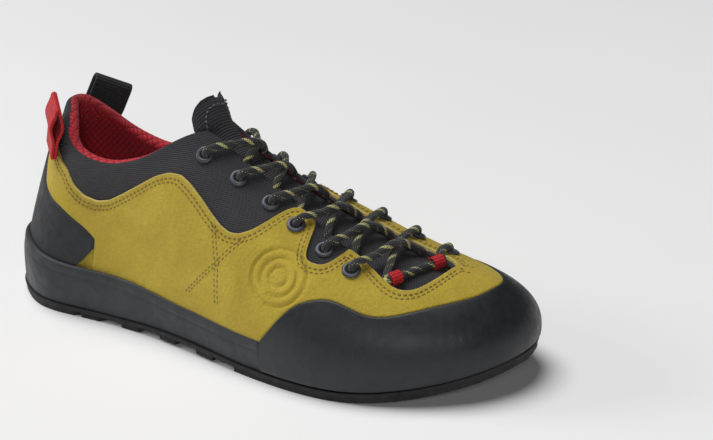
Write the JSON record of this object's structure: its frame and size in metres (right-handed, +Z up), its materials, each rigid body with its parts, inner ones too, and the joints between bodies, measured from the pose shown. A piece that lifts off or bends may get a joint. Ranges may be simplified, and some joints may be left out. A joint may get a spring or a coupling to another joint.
{
  "type": "approach shoe",
  "caption": "Low lace-up approach shoe for the right foot, with a rubber rand round the toe, a suede overlay, a padded collar with pull loops and a cup midsole on a lugged outsole.",
  "frame": {"origin": "middle of the shoe's bounding box, on the floor", "axes": "+X towards the toe, +Y towards the inner side of the foot, +Z up"},
  "size_m": [0.2896, 0.1076, 0.1169],
  "materials": {
    "outsole": "matte, moulded lugs",
    "midsole": "matte foam with a smooth proud lip",
    "textile": "fine ribbed weave",
    "suede": "short nap, pale cut edges",
    "rand": "smooth with a soft sheen",
    "counter": "matte",
    "insole": "knitted cover",
    "eyelet": "satin",
    "lace": "round braid with pale flecks",
    "red_webbing": "fine ribbed webbing",
    "black_webbing": "fine ribbed webbing"
  },
  "bodies": {
    "root": {"outsole": "outsole", "midsole": "midsole", "upper": "textile", "suede_overlay": "suede", "toe_rand": "rand", "heel_counter": "counter", "tongue": "textile", "insole": "insole", "eyelet_lateral_1": "eyelet", "eyelet_lateral_2": "eyelet", "eyelet_lateral_3": "eyelet", "eyelet_lateral_4": "eyelet", "eyelet_lateral_5": "eyelet", "eyelet_lateral_6": "eyelet", "eyelet_medial_1": "eyelet", "eyelet_medial_2": "eyelet", "eyelet_medial_3": "eyelet", "eyelet_medial_4": "eyelet", "eyelet_medial_5": "eyelet", "eyelet_medial_6": "eyelet", "eyelet_medial_7": "eyelet", "lace_cross_1": "lace", "lace_cross_2": "lace", "lace_cross_3": "lace", "lace_cross_4": "lace", "lace_cross_5": "lace", "lace_cross_6": "lace", "lace_bar": "lace", "lace_tab_lateral": "red_webbing", "lace_tab_medial": "red_webbing", "pull_loop_lateral": "red_webbing", "pull_loop_medial": "black_webbing"}
  },
  "joints": []
}
